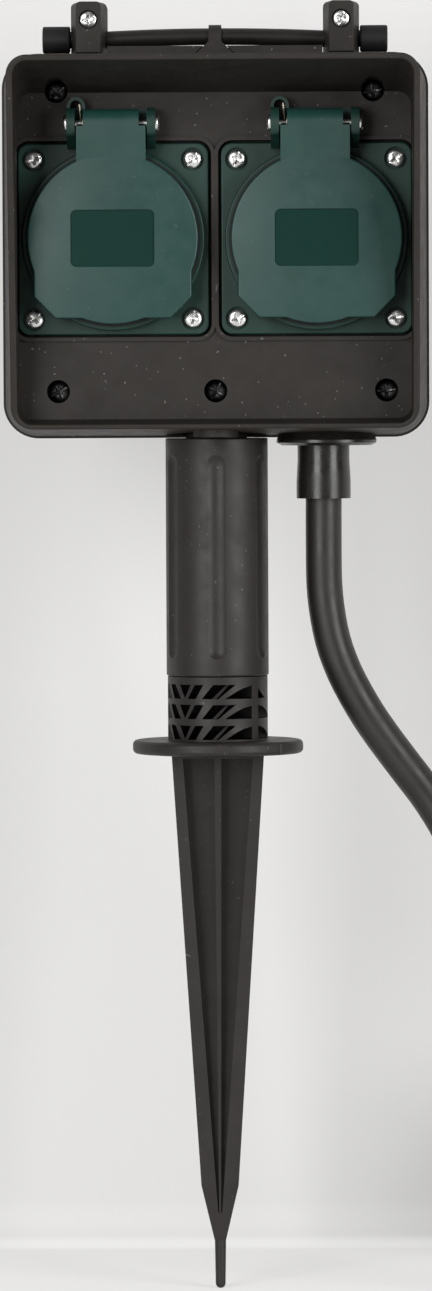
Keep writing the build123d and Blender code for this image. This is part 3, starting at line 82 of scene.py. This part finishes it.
def spiral_points(turn):
    """The coil's middle line, by the turns gone round. Its radius shrinks by a pitch a turn on the floor,
    dips a little on the half turn in which it climbs, and grows by a pitch a turn on top. Its height rises
    by half a cosine wave on that climb, and by another at the end, which lifts it on to the upper turns."""
    climb = np.clip((turn - turns_in) / turns_back, 0, 1)
    last_climb = np.clip((turn - turns_round) / climb_turns + 1, 0, 1)
    radius = coil_radius - coil_pitch * np.minimum(turn, turns_in)
    radius = radius - coil_pitch * turns_back * climb * (1 - climb)
    radius = radius + coil_pitch * np.maximum(turn - turns_in - turns_back, 0)
    height = coil_layer * (2 - np.cos(pi * climb) - np.cos(pi * last_climb)) / 2
    angle = start_angle + 2 * pi * turn
    return coil_middle + np.stack((radius * np.cos(angle), radius * np.sin(angle), height), axis=1)


over_start, over_step = spiral_points(np.array([turns_round, turns_round - small_turn]))
over_angle = atan2(*(over_start - over_step)[1::-1])


def over_points(turn):
    """The cord's last part, by the turns gone round: an arc of a smaller circle that goes on from the coil
    in its own direction, inwards over the other turns. Near its end the height grows with the square of
    the turns, up to the plug's slope."""
    angle = over_angle + 2 * pi * (turn - turns_round)
    height = plug_slope * pi * over_radius * np.maximum(turn - turns_all + rise_turns, 0)**2 / rise_turns
    across = over_radius * np.array((-sin(over_angle), cos(over_angle)))
    return over_start + np.stack((across[0] + over_radius * np.sin(angle),
                                  across[1] - over_radius * np.cos(angle), height), axis=1)


class Field:
    """A number that varies over a surface. Sums and products of fields add Math nodes to the material."""

    def __init__(self, finish, socket):
        self.finish = finish
        self.socket = socket

    def __add__(self, other):
        return self.finish.maths("ADD", self, other)

    def __sub__(self, other):
        return self.finish.maths("SUBTRACT", self, other)

    def __rsub__(self, other):
        return self.finish.maths("SUBTRACT", other, self)

    def __mul__(self, other):
        return self.finish.maths("MULTIPLY", self, other)

    __radd__ = __add__
    __rmul__ = __mul__


class Finish:
    """A material whose look is written as formulas on fields, and ends in one shader."""

    def __init__(self, name, **constants):
        self.material = bpy.data.materials.new(name)
        self.material.use_nodes = True
        self.tree = self.material.node_tree
        self.tree.nodes.clear()
        self.shader = self.tree.nodes.new("ShaderNodeBsdfPrincipled")
        self.surface = self.tree.nodes.new("ShaderNodeOutputMaterial").inputs["Surface"]
        self.tree.links.new(self.shader.outputs["BSDF"], self.surface)
        for socket, value in constants.items():
            self.set(socket.replace("_", " "), value)
        self.place = self.node("ShaderNodeTexCoord", {}, {}, "Object")

    def set(self, socket, value):
        """Gives a socket of the shader a plain value or a field."""
        self.feed(self.shader.inputs[socket], value)

    def feed(self, socket, value):
        """Links a field to any socket, or sets the socket's own value."""
        if isinstance(value, Field):
            self.tree.links.new(value.socket, socket)
        elif isinstance(value, tuple) and len(value) == 3 and socket.type == "RGBA":
            socket.default_value = (*value, 1.0)
        else:
            socket.default_value = value

    def node(self, kind, settings, values, output):
        """Adds one node: its settings first, then the values or links of its sockets."""
        node = self.tree.nodes.new(kind)
        for name, value in settings.items():
            setattr(node, name, value)
        for name, value in values.items():
            self.feed(node.inputs[name], value)
        return Field(self, node.outputs[output])

    def maths(self, operation, *values):
        return self.node("ShaderNodeMath", {"operation": operation}, dict(enumerate(values)), 0)

    def noise(self, size, detail=2.0, roughness=0.5):
        """Cloudy noise from 0 to 1 whose spots are about so many metres across."""
        return self.node("ShaderNodeTexNoise", {}, {"Vector": self.place, "Scale": 1 / size,
                                                    "Detail": detail, "Roughness": roughness}, 0)

    def ramp(self, value, low, high, bottom=0.0, top=1.0):
        """Maps a range of a field smoothly on to another range."""
        return self.node("ShaderNodeMapRange", {"interpolation_type": "SMOOTHSTEP"},
                         {"Value": value, "From Min": low, "From Max": high,
                          "To Min": bottom, "To Max": top}, 0)

    def mix(self, share, start, end):
        """A colour between two colours."""
        return self.node("ShaderNodeMix", {"data_type": "RGBA"}, {0: share, 6: start, 7: end}, 2)

    def axis(self, name):
        """One of the object's own coordinates, in metres."""
        return self.node("ShaderNodeSeparateXYZ", {}, {"Vector": self.place}, name)

    def bump(self, height, distance):
        """Fine relief, so many metres deep."""
        self.set("Normal", self.node("ShaderNodeBump", {}, {"Height": height, "Distance": distance}, 0))


usual_noise = (0.3, 0.7)
cloud_size, rubbed_size, speck_size = 0.014, 0.005, 0.0008
speck_edge = (0.82, 0.86)
dust_colour = (0.40, 0.38, 0.36)
smoother, rougher = 0.05, 0.07


def moulded(name, deep, pale, roughness, grain=0.0004, relief=0.00001, dust=0.0, specular=0.5):
    """Moulded plastic or rubber: its tone is cloudy between a deep and a pale colour, its sheen has rubbed
    spots, its grain is so many metres across, and it carries some pale specks of dust."""
    finish = Finish(name, Specular_IOR_Level=specular)
    cloud = finish.noise(cloud_size, 3.0, 0.6)
    colour = finish.mix(finish.ramp(cloud, *usual_noise), deep, pale)
    if dust:
        specks = finish.ramp(finish.noise(speck_size, 0.0), *speck_edge, 0.0, dust)
        colour = finish.mix(specks, colour, dust_colour)
    finish.set("Base Color", colour)
    rubbed = finish.noise(rubbed_size, 4.0, 0.65)
    finish.set("Roughness", finish.ramp(rubbed, *usual_noise, roughness - smoother, roughness + rougher))
    finish.bump(finish.noise(grain, 2.0, 0.6), relief)
    return finish


def dress(finish, *names):
    """Gives CAD nodes a finish."""
    for name in names:
        nodes[name].data.materials.clear()
        nodes[name].data.materials.append(finish.material)


round_turns = np.arange(1, int(points_per_turn * turns_round) + 1) / points_per_turn
over_turns = np.linspace(turns_round, turns_all, over_count)
coil = np.vstack((spiral_points(round_turns), over_points(over_turns)))
last_way = coil[-1] - over_points(np.array([turns_all - small_turn]))[0]
last_way /= np.linalg.norm(last_way)
route = np.vstack((lead_route, coil_start, coil, coil[-1] + last_way * 2 * cable_radius))
cable_curve = bpy.data.curves.new("garden_cable", "CURVE")
cable_curve.dimensions = "3D"
spline = cable_curve.splines.new("NURBS")
spline.points.add(len(route) - 1)
spline.points.foreach_set("co", np.column_stack((route, np.ones(len(route)))).ravel())
spline.order_u = 3
spline.use_endpoint_u = True
spline.resolution_u = 5
cable_curve.bevel_depth = cable_radius
cable_curve.bevel_resolution = 7
cable = bpy.data.objects.new("garden_cable", cable_curve)
bpy.context.scene.collection.objects.link(cable)
cable_rubber = moulded("cable_rubber", (0.0115, 0.0092, 0.0078), (0.0170, 0.0142, 0.0130), 0.42,
                       grain=0.0007, relief=0.00002, dust=0.12)
cable_curve.materials.append(cable_rubber.material)
dress(cable_rubber, "cable_inside", "cable_lead", "cable_coil")
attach(cable, "housing")
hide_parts("cable_lead", "cable_coil")

# Floor and backdrop: pale paper on the floor and, just behind the object, a sheet of it that stands up.
# From behind, the sheet isn't seen, so that it never hides the object.
paper_y = 0.092
fold_radius = 0.012
fold_count = 13
sheet_height = 1.1
half_span = 3.0
fold = np.linspace(0, pi / 2, fold_count)
fold_points = np.stack((paper_y - fold_radius * (1 - np.sin(fold)),
                        floor_z + fold_radius * (1 - np.cos(fold))), axis=1)
sheet_profile = np.vstack(([(-half_span, floor_z)], fold_points, [(paper_y, sheet_height)]))
floor_profile = [(paper_y, floor_z), (half_span, floor_z)]
bounced_tone, seen_tone, glow_tone = (0.14, 0.138, 0.135), (0.56, 0.555, 0.55), (1.0, 0.995, 0.99)
no_colour = (0.0, 0.0, 0.0)
near_reach, far_reach = 0.35, 1.0
floor_glow, sheet_glow, far_glow = 0.53, 0.335, 0.8
glow_change = 0.3 * fold_radius


def paper_strip(name, profile):
    """A strip of paper: a profile of depths and heights, carried along X."""
    depth, height = np.transpose(profile)
    across = np.tile((-half_span, half_span), len(depth))
    corners = np.stack((across, np.repeat(depth, 2), np.repeat(height, 2)), axis=1)
    first = 2 * np.arange(len(depth) - 1)
    faces = np.stack((first, first + 1, first + 3, first + 2), axis=1)
    mesh = bpy.data.meshes.new(name)
    mesh.from_pydata(corners.tolist(), [], faces.tolist())
    mesh.shade_smooth()
    strip = bpy.data.objects.new(name, mesh)
    bpy.context.scene.collection.objects.link(strip)
    mesh.materials.append(paper.material)


# The paper's tone and glow are for the rays by which it is seen, straight or in metal. Near the object it
# takes shadows, and further away its colour is the glow alone.
paper = Finish("studio_paper", Roughness=0.9, Specular_IOR_Level=0.0)
rays = [paper.node("ShaderNodeLightPath", {}, {}, ray)
        for ray in ("Is Camera Ray", "Is Glossy Ray", "Is Transmission Ray")]
seen = paper.maths("MINIMUM", rays[0] + rays[1] + rays[2], 1.0)
from_object = paper.node("ShaderNodeVectorMath", {"operation": "LENGTH"}, {0: paper.place}, "Value")
near = paper.ramp(from_object, near_reach, far_reach, 1.0, 0.0)
paper.set("Base Color", paper.mix(seen, bounced_tone, paper.mix(near, no_colour, seen_tone)))
glow = paper.ramp(paper.axis("Z"), floor_z, floor_z + glow_change, floor_glow, sheet_glow)
glow = near * glow + (1 - near) * far_glow
paper.set("Emission Color", paper.mix(seen * glow, no_colour, glow_tone))
paper.set("Emission Strength", 1.0)
paper_front = Field(paper, paper.shader.outputs["BSDF"])
clear_back = paper.node("ShaderNodeBsdfTransparent", {}, {}, "BSDF")
behind = paper.node("ShaderNodeNewGeometry", {}, {}, "Backfacing")
two_sided = paper.node("ShaderNodeMixShader", {}, {0: behind, 1: paper_front, 2: clear_back}, "Shader")
paper.feed(paper.surface, two_sided)
paper_strip("studio_sheet", sheet_profile)
paper_strip("studio_floor_behind", floor_profile)

# Lamps: a large soft one in front and to the left, another further to the right, and a weak one above.
# The world adds a little plain light from all round.
case_middle = (0, 0, 0.05)
world_tone = (1.0, 0.985, 0.96)
world_light, world_seen = 0.10, 0.8


def softbox(name, at, towards, width, height, power):
    """A large soft lamp that faces a point."""
    lamp = bpy.data.lights.new(name, "AREA")
    lamp.shape = "RECTANGLE"
    lamp.size, lamp.size_y, lamp.energy = width, height, power
    holder = bpy.data.objects.new(name, lamp)
    bpy.context.scene.collection.objects.link(holder)
    turned = (Vector(towards) - Vector(at)).to_track_quat("-Z", "Y").to_matrix().to_4x4()
    holder.matrix_world = Matrix.Translation(at) @ turned


softbox("left_softbox", (-0.76, -1.46, 0.42), case_middle, width=0.75, height=1.1, power=16.5)
softbox("right_softbox", (1.20, -1.17, 0.36), case_middle, width=0.75, height=1.1, power=17.5)
softbox("top_softbox", (-0.1, -0.45, 1.5), (0, 0, 0), width=1.4, height=0.6, power=2.5)
world = bpy.data.worlds.new("studio")
world.use_nodes = True
world_tree = world.node_tree
background = world_tree.nodes["Background"]
background.inputs["Color"].default_value = (*world_tone, 1.0)
world_rays = world_tree.nodes.new("ShaderNodeLightPath")
world_level = world_tree.nodes.new("ShaderNodeMapRange")
world_level.inputs["To Min"].default_value = world_light
world_level.inputs["To Max"].default_value = world_seen
world_tree.links.new(world_rays.outputs["Is Camera Ray"], world_level.inputs["Value"])
world_tree.links.new(world_level.outputs["Result"], background.inputs["Strength"])
bpy.context.scene.world = world
bpy.context.scene.view_settings.view_transform = "Standard"

# Case: two shells of black moulded plastic with a fine spark texture, parted by a thin rubber gasket.
# The front shell carries the hood and the recess for the sockets.
case_plastic = moulded("case_plastic", (0.0125, 0.0093, 0.0070), (0.0190, 0.0150, 0.0122), 0.56,
                       grain=0.00035, relief=0.000016, dust=0.30, specular=0.40)
dress(case_plastic, "front_shell", "rear_shell")
seal_rubber = moulded("seal_rubber", (0.010, 0.010, 0.010), (0.016, 0.016, 0.016), 0.6, specular=0.3)
dress(seal_rubber, "shell_gasket")

# Case screws: black pan-head screws of blued steel, deep in their wells, driven from the front into the
# rear shell's columns. Each head has a cross recess and a slot.
screw_segments = 72
head_rings = 26
cross_half_width, cross_half_length = 0.17, 0.62
slot_half_width, slot_half_length, slot_depth = 0.13, 1.1, 0.45
recess_depth, recess_rise, recess_edge = 0.7, 0.5, 0.00012
head_dome, sunk_dome, head_side = 0.30, 0.15, 0.35
foot_share, point_share = 0.97, 0.6
sharp_angle = radians(38)
case_screw = {"seat": -0.0050, "head": 0.00275, "height": 0.0022, "shank": 0.00175, "reach": 0.0120}
case_screws_at = [(-0.0408, 0.1715, 35), (0.0408, 0.1715, 12), (-0.0406, 0.0942, 28), (0.0, 0.0942, 60),
                  (0.0441, 0.0942, 4)]


def turned_screw(x, z, turn, seat, head, height, shank, reach):
    """A surface of revolution: a domed head, its side, its underside, the shank and its point. The cross
    recess and the slot lower the head where a point's two coordinates across the head, turned by the
    screw's own angle, lie within half a width and half a length of the middle, as shares of its radius."""
    angle = np.linspace(0, 2 * pi, screw_segments, endpoint=False)
    share = np.linspace(0, 1, head_rings + 1)[1:]
    across = np.outer(share * head, np.cos(angle - turn))
    along = np.outer(share * head, np.sin(angle - turn))

    def groove(offset, half_width, distance, half_length):
        beside = np.clip((half_width * head - abs(offset)) / recess_edge, 0, 1)
        return beside * np.clip((half_length * head - abs(distance)) / recess_edge, 0, 1)

    cross = np.maximum(groove(across, cross_half_width, along, cross_half_length),
                       groove(along, cross_half_width, across, cross_half_length))
    slot = slot_depth * groove(along, slot_half_width, across, slot_half_length)
    cut = np.maximum(cross, slot) * (1 - recess_rise * share[:, None]) * recess_depth * height
    dome = head_dome * height * share[:, None]**4
    front = seat - height + np.maximum(dome, cut + sunk_dome * dome)
    radii = np.concatenate((share * head, [head, foot_share * head, shank, shank, point_share * shank]))
    depths = np.array([seat - head_side * height, seat, seat, seat + reach - shank, seat + reach])
    depth = np.vstack((front, np.repeat(depths[:, None], screw_segments, axis=1)))
    rings = np.stack((x + np.outer(radii, np.cos(angle)), depth, z + np.outer(radii, np.sin(angle))), axis=2)
    return rings, (x, seat - height + recess_depth * height, z), (x, seat + reach, z)


def piece_of(name, surfaces, finish, body, *replaced, slot):
    """One piece from closed surfaces, each given as rings of points and the two poles that close them."""
    corners, faces = np.empty((0, 3)), []
    for rings, first_pole, last_pole in surfaces:
        count, around = rings.shape[:2]
        base = len(corners)
        corners = np.vstack((corners, rings.reshape(-1, 3), first_pole, last_pole))
        step = base + np.arange(around)
        after = base + np.arange(1, around + 1) % around
        ring = np.arange(count - 1)[:, None] * around
        quads = np.stack((ring + step, ring + around + step, ring + around + after, ring + after), axis=2)
        last_ring = (count - 1) * around
        poles = np.full((around, 2), base + count * around) + (0, 1)
        faces += quads.reshape(-1, 4).tolist()
        faces += np.column_stack((poles[:, 0], step, after)).tolist()
        faces += np.column_stack((poles[:, 1], last_ring + after, last_ring + step)).tolist()
    mesh = bpy.data.meshes.new(name)
    mesh.from_pydata(corners.tolist(), [], faces)
    mesh.shade_smooth()
    mesh.set_sharp_from_angle(angle=sharp_angle)
    piece = bpy.data.objects.new(name, mesh)
    bpy.context.scene.collection.objects.link(piece)
    mesh.materials.append(finish.material)
    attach(piece, body)
    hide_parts(*replaced)
    return piece


def metal(name, dark, light, roughness):
    """Plated or blued metal: faint clouds in its tone and sheen, and a very fine relief."""
    finish = Finish(name, Metallic=1.0)
    cloud = finish.noise(0.0016, 3.0, 0.6)
    finish.set("Base Color", finish.mix(finish.ramp(cloud, *usual_noise), dark, light))
    finish.set("Roughness", finish.ramp(cloud, *usual_noise, roughness - 0.05, roughness + 0.1))
    finish.bump(finish.noise(0.0003, 2.0), 0.000003)
    return finish


black_steel = metal("black_steel", (0.10, 0.10, 0.10), (0.20, 0.19, 0.19), 0.30)
piece_of("case_screw_set",
         [turned_screw(x, z, radians(turn), **case_screw) for x, z, turn in case_screws_at],
         black_steel, "housing", "case_screws", slot="dark_steel")

# Hanging bar: a black-coated steel rod, gently arched between two lugs on the rear shell. A clamp and a
# zinc-plated screw pinch it in each lug, a saddle holds its middle, and round caps close its ends.
bar_coating = moulded("bar_coating", (0.0070, 0.0055, 0.0045), (0.0105, 0.0085, 0.0075), 0.46,
                      grain=0.0005, relief=0.000008, dust=0.10, specular=0.35)
dress(bar_coating, "hanging_bar")
cap_plastic = moulded("cap_plastic", (0.0075, 0.0065, 0.0062), (0.0120, 0.0105, 0.0110), 0.6,
                      grain=0.0006, relief=0.00003, dust=0.15, specular=0.32)
dress(cap_plastic, "bar_end_caps")
dress(case_plastic, "lug_clamp_left", "lug_clamp_right", "bar_saddle")
zinc_steel = metal("zinc_steel", (0.62, 0.62, 0.61), (0.86, 0.86, 0.84), 0.26)
lug_screw = {"seat": 0.0034, "head": 0.00215, "height": 0.0014, "shank": 0.00122, "reach": 0.0120}
lug_screws_at = [(-0.0329, 0.1909, 8), (0.0329, 0.1909, 62)]
piece_of("lug_screw_pair",
         [turned_screw(x, z, radians(turn), **lug_screw) for x, z, turn in lug_screws_at],
         zinc_steel, "housing", "lug_screws", slot="zinc_steel")

# Grip and spike: a black tube with six round-bottomed flutes, closed at the top and held between the
# shells, and the spike that is pushed into it, with its lattice neck, its collar and its ribbed blade.
spike_plastic = moulded("spike_plastic", (0.0125, 0.0095, 0.0075), (0.0190, 0.0155, 0.0135), 0.48,
                        grain=0.0005, relief=0.000012, dust=0.25, specular=0.45)
dress(spike_plastic, "grip_tube", "ground_spike")

# Sockets: green moulded flanges, each with its round collar, its cup and the two ears of the hinge.
# Each sits in its pocket on a flat rubber gasket and is held by four zinc-plated screws.
# The flanges are the lids' green painted darker: painted shade of the recess they sit in.
shade_painted_socket_plastic = moulded("shade_painted_socket_plastic", (0.0080, 0.034, 0.0255), (0.0120, 0.044, 0.0340), 0.44,
                         grain=0.0004, relief=0.00001, dust=0.12, specular=0.40)
dress(shade_painted_socket_plastic, "socket_flange_left", "socket_flange_right")
dress(seal_rubber, "flange_gasket_left", "flange_gasket_right")
socket_x, socket_z, screw_offset = 0.0262, 0.1334, 0.0205
flange_screw = {"seat": -0.0121, "head": 0.00225, "height": 0.0017, "shank": 0.00145, "reach": 0.0110}
corner_turns = {"left": (40, 15, 75, 52), "right": (22, 68, 8, 33)}
for side, way in (("left", -1), ("right", 1)):
    corners = [(way * socket_x + a * screw_offset, socket_z + b * screw_offset)
               for a in (-1, 1) for b in (-1, 1)]
    piece_of(f"flange_screw_set_{side}",
             [turned_screw(x, z, radians(turn), **flange_screw)
              for (x, z), turn in zip(corners, corner_turns[side])],
             zinc_steel, "housing", f"flange_screws_{side}", slot="zinc_steel")

# Contacts: a cream carrier behind each cup, with two sprung brass sleeves, a brass earth clip and their
# terminal screws. They are out of sight behind the lids.
carrier_plastic = moulded("carrier_plastic", (0.50, 0.46, 0.38), (0.58, 0.54, 0.46), 0.5)
dress(carrier_plastic, "contact_carrier_left", "contact_carrier_right", "strain_clamp")
contact_brass = metal("contact_brass", (0.55, 0.38, 0.14), (0.72, 0.52, 0.22), 0.3)
dress(contact_brass, "live_contacts_left", "live_contacts_right", "earth_clip_left", "earth_clip_right")
dress(zinc_steel, "terminal_screws_left", "terminal_screws_right")

# Lids: domed green lids with a sealing ring inside. The sunk field in the middle of each is polished and
# left bare, and its colour is painted darker than the lid round it: a painted dark reflection in its polish.
lid_plastic_with_painted_field = moulded("lid_plastic_with_painted_field", (0.0105, 0.051, 0.0420), (0.0145, 0.060, 0.0505), 0.40,
                      grain=0.0006, relief=0.000008, dust=0.12)
field_half_width, field_half_height, field_edge = 0.01076, 0.00736, 0.0001
field_floor_y = -0.02295
# Painted reflection: the field's colour is darker than the lid's own green, standing in for dark
# surroundings.
painted_dark_field_colour, field_roughness = (0.0070, 0.038, 0.0300), 0.18
lid_x, lid_y, lid_z = (lid_plastic_with_painted_field.axis(name) for name in "XYZ")
from_middle_x = lid_plastic_with_painted_field.maths("ABSOLUTE", lid_plastic_with_painted_field.maths("ABSOLUTE", lid_x) - socket_x)
from_middle_z = lid_plastic_with_painted_field.maths("ABSOLUTE", lid_z - socket_z)
field = (lid_plastic_with_painted_field.ramp(from_middle_x, field_half_width, field_half_width + field_edge, 1.0, 0.0)
         * lid_plastic_with_painted_field.ramp(from_middle_z, field_half_height, field_half_height + field_edge, 1.0, 0.0)
         * lid_plastic_with_painted_field.ramp(lid_y, field_floor_y - field_edge, field_floor_y))
plain_colour = Field(lid_plastic_with_painted_field, lid_plastic_with_painted_field.shader.inputs["Base Color"].links[0].from_socket)
plain_roughness = Field(lid_plastic_with_painted_field, lid_plastic_with_painted_field.shader.inputs["Roughness"].links[0].from_socket)
# The field gets the painted dark colour, a painted reflection, and its own lower roughness.
lid_plastic_with_painted_field.set("Base Color", lid_plastic_with_painted_field.mix(field, plain_colour, painted_dark_field_colour))
lid_plastic_with_painted_field.set("Roughness", plain_roughness * (1 - field) + field * field_roughness)
dress(lid_plastic_with_painted_field, "lid_left", "lid_right")
dress(seal_rubber, "lid_seal_left", "lid_seal_right")

# Hinges: a plated pin through the ears and the barrel, with a formed head at one end and a pressed cap
# at the other, and a torsion spring of plated wire wound round it that shuts the lid.
dress(zinc_steel, "hinge_pin_left", "hinge_pin_right", "pin_cap_left", "pin_cap_right")
spring_steel = metal("spring_steel", (0.30, 0.26, 0.20), (0.48, 0.43, 0.35), 0.34)
dress(spring_steel, "lid_spring_left", "lid_spring_right")

# Cable entry: a soft rubber gland with a wide disc under the case and a sleeve round the cable, and in the
# case a plastic clamp that two screws hold on the rear shell's rib.
gland_rubber = moulded("gland_rubber", (0.0095, 0.0080, 0.0068), (0.0140, 0.0122, 0.0108), 0.27,
                       grain=0.0012, relief=0.000008)
dress(gland_rubber, "cable_gland")
dress(zinc_steel, "strain_clamp_screws")

# Cores: brown, blue and green ones, each of copper in a coloured plastic cover. They run from the cable to
# the right socket's terminals and on to the left one's.
brown_core = moulded("brown_core", (0.17, 0.06, 0.02), (0.22, 0.09, 0.03), 0.4)
dress(brown_core, "wire_live")
blue_core = moulded("blue_core", (0.03, 0.11, 0.36), (0.05, 0.15, 0.42), 0.4)
dress(blue_core, "wire_neutral")
earth_core = moulded("earth_core", (0.18, 0.36, 0.05), (0.28, 0.48, 0.08), 0.4)
dress(earth_core, "wire_earth")

# Plug: a moulded rubber body with two solid pins and two earth contacts let into its sides. It is part of
# the cable and lies on top of the coil.
plug_rubber = moulded("plug_rubber", (0.012, 0.011, 0.0105), (0.018, 0.017, 0.0165), 0.45,
                      grain=0.0007, relief=0.00002, dust=0.12)
dress(plug_rubber, "plug_body")
dress(zinc_steel, "plug_pins", "plug_earth_clips")
